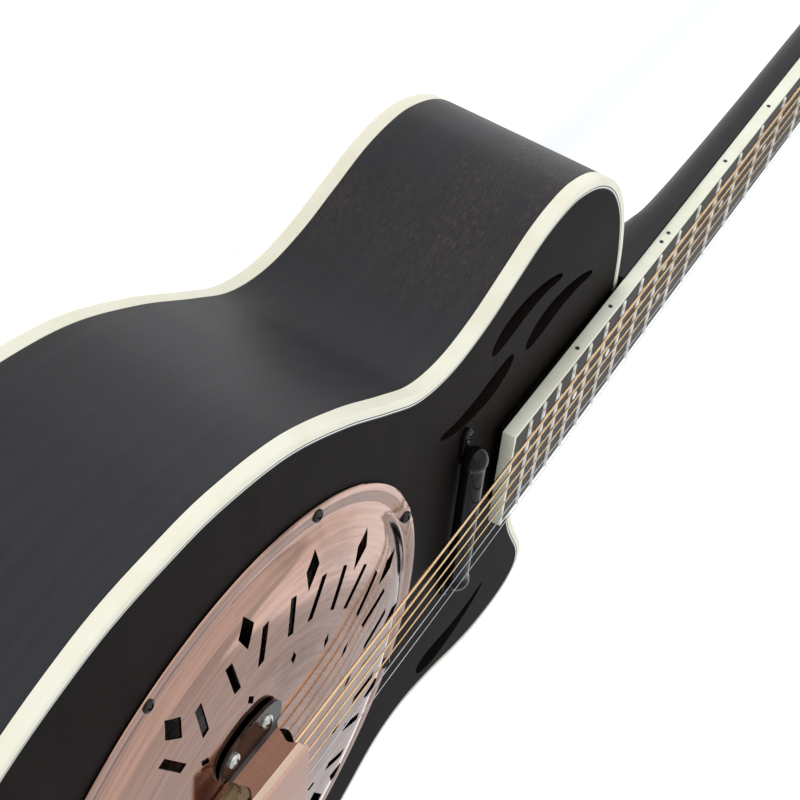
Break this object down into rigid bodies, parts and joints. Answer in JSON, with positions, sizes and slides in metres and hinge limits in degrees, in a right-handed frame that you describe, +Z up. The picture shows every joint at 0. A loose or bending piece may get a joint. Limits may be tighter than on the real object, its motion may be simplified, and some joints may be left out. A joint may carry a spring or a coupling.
{
  "type": "resonator guitar",
  "caption": "Cutaway wooden resonator guitar: tapered sound box, spun cone under a pierced domed plate, hand rest, tube pickup, bound fingerboard and geared tuners.",
  "frame": {"origin": "on the back plate's outer face, under the middle of the resonator cone's seat; the guitar lies on its back at Z = 0", "axes": "+Y along the strings towards the headstock, +X towards the treble side, +Z up out of the soundboard"},
  "size_m": [0.3613, 1.0158, 0.125],
  "materials": {
    "black_wood": "satin, open grain, stained black",
    "cream_binding": "cream, satin",
    "board_binding": "cream, slightly greener",
    "raw_wood": "unfinished",
    "maple": "unfinished maple",
    "spun_aluminium": "spun, bare",
    "antique_copper": "brushed antique copper plating",
    "nickel": "dark polished nickel",
    "steel": "bright steel",
    "phosphor_bronze": "wound phosphor bronze",
    "gloss_black": "gloss black",
    "fingerboard_wood": "dark oiled rosewood"
  },
  "bodies": {
    "root": {"back_binding": "cream_binding", "back_plate": "black_wood", "bass_side": "black_wood", "biscuit": "maple", "cover_plate": "antique_copper", "end_block": "raw_wood", "end_pin_jack": "nickel", "fingerboard": "fingerboard_wood", "fingerboard_binding": "board_binding", "fingerboard_riser": "black_wood", "hand_rest": "antique_copper", "headstock_veneer": "black_wood", "lower_back_brace": "raw_wood", "neck": "black_wood", "neck_block": "raw_wood", "nut": "cream_binding", "pickup": "gloss_black", "resonator_cone": "spun_aluminium", "saddle": "maple", "soundboard": "black_wood", "soundwell": "raw_wood", "string_1": "steel", "string_2": "steel", "string_3": "phosphor_bronze", "string_4": "phosphor_bronze", "string_5": "phosphor_bronze", "string_6": "phosphor_bronze", "tailpiece": "nickel", "tone_pot": "steel", "top_binding": "cream_binding", "top_brace": "raw_wood", "treble_side": "black_wood", "truss_rod": "steel", "truss_rod_cover": "gloss_black", "tuner_plate_bass": "nickel", "tuner_plate_treble": "nickel", "upper_back_brace": "raw_wood", "volume_pot": "steel"},
    "tuner_button_6": {"tuner_button_6": "nickel"},
    "string_post_6": {"string_post_6": "nickel"},
    "tuner_button_1": {"tuner_button_1": "nickel"},
    "string_post_1": {"string_post_1": "nickel"},
    "tuner_button_5": {"tuner_button_5": "nickel"},
    "string_post_5": {"string_post_5": "nickel"},
    "tuner_button_2": {"tuner_button_2": "nickel"},
    "string_post_2": {"string_post_2": "nickel"},
    "tuner_button_4": {"tuner_button_4": "nickel"},
    "string_post_4": {"string_post_4": "nickel"},
    "tuner_button_3": {"tuner_button_3": "nickel"},
    "string_post_3": {"string_post_3": "nickel"},
    "volume_knob": {"volume_knob": "gloss_black"},
    "tone_knob": {"tone_knob": "gloss_black"},
    "truss_rod_nut": {"truss_rod_nut": "nickel"}
  },
  "joints": [
    {"name": "tuner_button_6_turn", "type": "hinge", "parent": "root", "child": "tuner_button_6", "pos_m": [-0.024, 0.68972, 0.03405], "axis": [-1, 0, 0], "continuous": true},
    {"name": "string_post_6_turn", "type": "hinge", "parent": "root", "child": "string_post_6", "pos_m": [-0.024, 0.68529, 0.05731], "axis": [0, 0.2317, 0.9728], "continuous": true},
    {"name": "tuner_button_1_turn", "type": "hinge", "parent": "root", "child": "tuner_button_1", "pos_m": [0.024, 0.68972, 0.03405], "axis": [1, 0, 0], "continuous": true},
    {"name": "string_post_1_turn", "type": "hinge", "parent": "root", "child": "string_post_1", "pos_m": [0.024, 0.68529, 0.05731], "axis": [0, 0.2317, 0.9728], "continuous": true},
    {"name": "tuner_button_5_turn", "type": "hinge", "parent": "root", "child": "tuner_button_5", "pos_m": [-0.0255, 0.72571, 0.02548], "axis": [-1, 0, 0], "continuous": true},
    {"name": "string_post_5_turn", "type": "hinge", "parent": "root", "child": "string_post_5", "pos_m": [-0.0255, 0.72128, 0.04874], "axis": [0, 0.2317, 0.9728], "continuous": true},
    {"name": "tuner_button_2_turn", "type": "hinge", "parent": "root", "child": "tuner_button_2", "pos_m": [0.0255, 0.72571, 0.02548], "axis": [1, 0, 0], "continuous": true},
    {"name": "string_post_2_turn", "type": "hinge", "parent": "root", "child": "string_post_2", "pos_m": [0.0255, 0.72128, 0.04874], "axis": [0, 0.2317, 0.9728], "continuous": true},
    {"name": "tuner_button_4_turn", "type": "hinge", "parent": "root", "child": "tuner_button_4", "pos_m": [-0.027, 0.7617, 0.0169], "axis": [-1, 0, 0], "continuous": true},
    {"name": "string_post_4_turn", "type": "hinge", "parent": "root", "child": "string_post_4", "pos_m": [-0.027, 0.75727, 0.04016], "axis": [0, 0.2317, 0.9728], "continuous": true},
    {"name": "tuner_button_3_turn", "type": "hinge", "parent": "root", "child": "tuner_button_3", "pos_m": [0.027, 0.7617, 0.0169], "axis": [1, 0, 0], "continuous": true},
    {"name": "string_post_3_turn", "type": "hinge", "parent": "root", "child": "string_post_3", "pos_m": [0.027, 0.75727, 0.04016], "axis": [0, 0.2317, 0.9728], "continuous": true},
    {"name": "volume_knob_turn", "type": "hinge", "parent": "root", "child": "volume_knob", "pos_m": [0.1535, -0.04795, 0.09905], "axis": [0, 0.0481, 0.9988], "range_deg": [0, 280]},
    {"name": "tone_knob_turn", "type": "hinge", "parent": "root", "child": "tone_knob", "pos_m": [0.144, -0.0859, 0.10088], "axis": [0, 0.0481, 0.9988], "range_deg": [0, 280]},
    {"name": "truss_rod_nut_turn", "type": "hinge", "parent": "root", "child": "truss_rod_nut", "pos_m": [0, 0.6514, 0.05623], "axis": [0, 0.9977, -0.068], "range_deg": [-180, 180]}
  ],
  "couplings": [
    {"joint": "string_post_6_turn", "follows": "tuner_button_6_turn", "ratio": -0.0625},
    {"joint": "string_post_1_turn", "follows": "tuner_button_1_turn", "ratio": 0.0625},
    {"joint": "string_post_5_turn", "follows": "tuner_button_5_turn", "ratio": -0.0625},
    {"joint": "string_post_2_turn", "follows": "tuner_button_2_turn", "ratio": 0.0625},
    {"joint": "string_post_4_turn", "follows": "tuner_button_4_turn", "ratio": -0.0625},
    {"joint": "string_post_3_turn", "follows": "tuner_button_3_turn", "ratio": 0.0625}
  ]
}
